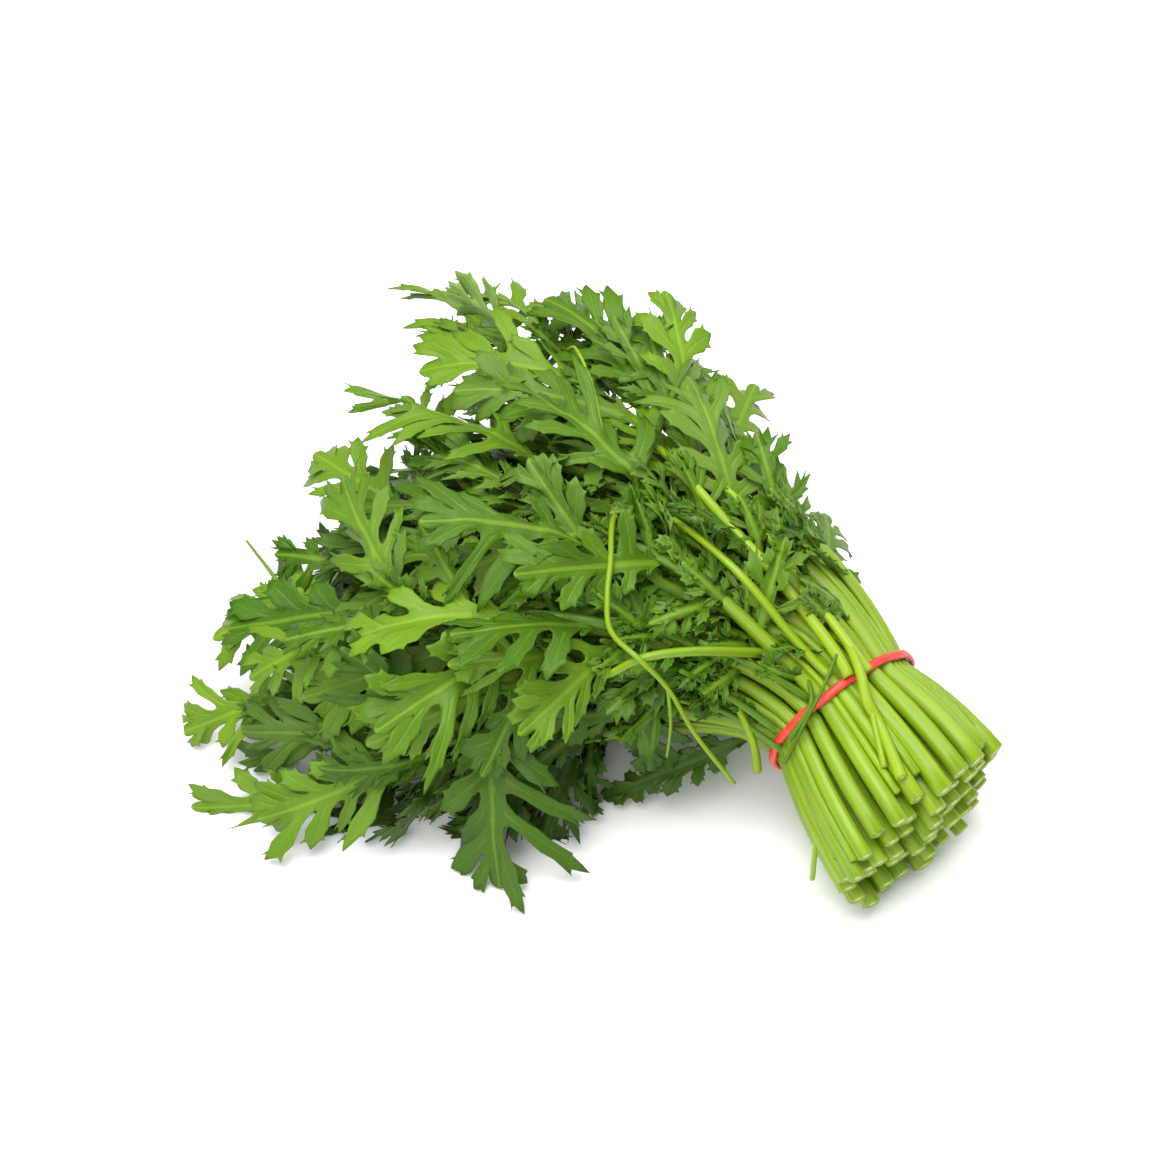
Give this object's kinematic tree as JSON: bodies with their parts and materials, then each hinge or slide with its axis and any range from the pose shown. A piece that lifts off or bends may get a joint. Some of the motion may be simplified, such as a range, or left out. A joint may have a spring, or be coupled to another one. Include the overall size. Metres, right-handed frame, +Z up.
{
  "type": "chrysanthemum greens bunch",
  "caption": "Bunch of leafy greens with long pale stems and deeply lobed leaves, tied near the cut ends with a red rubber band and lying on its side.",
  "frame": {"origin": "the point on the surface that the bunch lies on, under the centre of its bounding box", "axes": "+Z up; the fan of leaves opens towards -X and +Y, and the cut stem ends point towards +X and -Y"},
  "size_m": [0.2722, 0.246, 0.1168],
  "materials": {
    "leaf_green": "soft satin, fresh leaf and stem",
    "red_rubber": "smooth satin"
  },
  "bodies": {
    "root": {"leafy_stem_1_01": "leaf_green", "leafy_stem_1_02": "leaf_green", "leafy_stem_1_03": "leaf_green", "leafy_stem_1_04": "leaf_green", "leafy_stem_1_05": "leaf_green", "leafy_stem_1_06": "leaf_green", "leafy_stem_1_07": "leaf_green", "leafy_stem_1_08": "leaf_green", "leafy_stem_1_09": "leaf_green", "leafy_stem_1_10": "leaf_green", "leafy_stem_1_11": "leaf_green", "leafy_stem_1_12": "leaf_green", "leafy_stem_1_13": "leaf_green", "leafy_stem_1_14": "leaf_green", "leafy_stem_1_15": "leaf_green", "leafy_stem_1_16": "leaf_green", "leafy_stem_1_17": "leaf_green", "leafy_stem_1_18": "leaf_green", "leafy_stem_1_19": "leaf_green", "leafy_stem_1_20": "leaf_green", "leafy_stem_1_21": "leaf_green", "leafy_stem_1_22": "leaf_green", "leafy_stem_1_23": "leaf_green", "leafy_stem_1_24": "leaf_green", "leafy_stem_2_01": "leaf_green", "leafy_stem_2_02": "leaf_green", "leafy_stem_2_03": "leaf_green", "leafy_stem_2_04": "leaf_green", "leafy_stem_2_05": "leaf_green", "leafy_stem_2_06": "leaf_green", "leafy_stem_2_07": "leaf_green", "leafy_stem_2_08": "leaf_green", "leafy_stem_2_09": "leaf_green", "leafy_stem_2_10": "leaf_green", "leafy_stem_2_11": "leaf_green", "leafy_stem_2_12": "leaf_green", "leafy_stem_2_13": "leaf_green", "leafy_stem_2_14": "leaf_green", "leafy_stem_2_15": "leaf_green", "leafy_stem_2_16": "leaf_green", "leafy_stem_2_17": "leaf_green", "leafy_stem_3_01": "leaf_green", "leafy_stem_3_02": "leaf_green", "leafy_stem_3_03": "leaf_green", "leafy_stem_3_04": "leaf_green", "leafy_stem_3_05": "leaf_green", "leafy_stem_3_06": "leaf_green", "leafy_stem_3_07": "leaf_green", "leafy_stem_3_08": "leaf_green", "leafy_stem_3_09": "leaf_green", "leafy_stem_3_10": "leaf_green", "leafy_stem_3_11": "leaf_green", "leafy_stem_4_01": "leaf_green", "leafy_stem_4_02": "leaf_green", "leafy_stem_4_03": "leaf_green", "leafy_stem_4_04": "leaf_green", "leafy_stem_4_05": "leaf_green", "rubber_band": "red_rubber"}
  },
  "joints": []
}
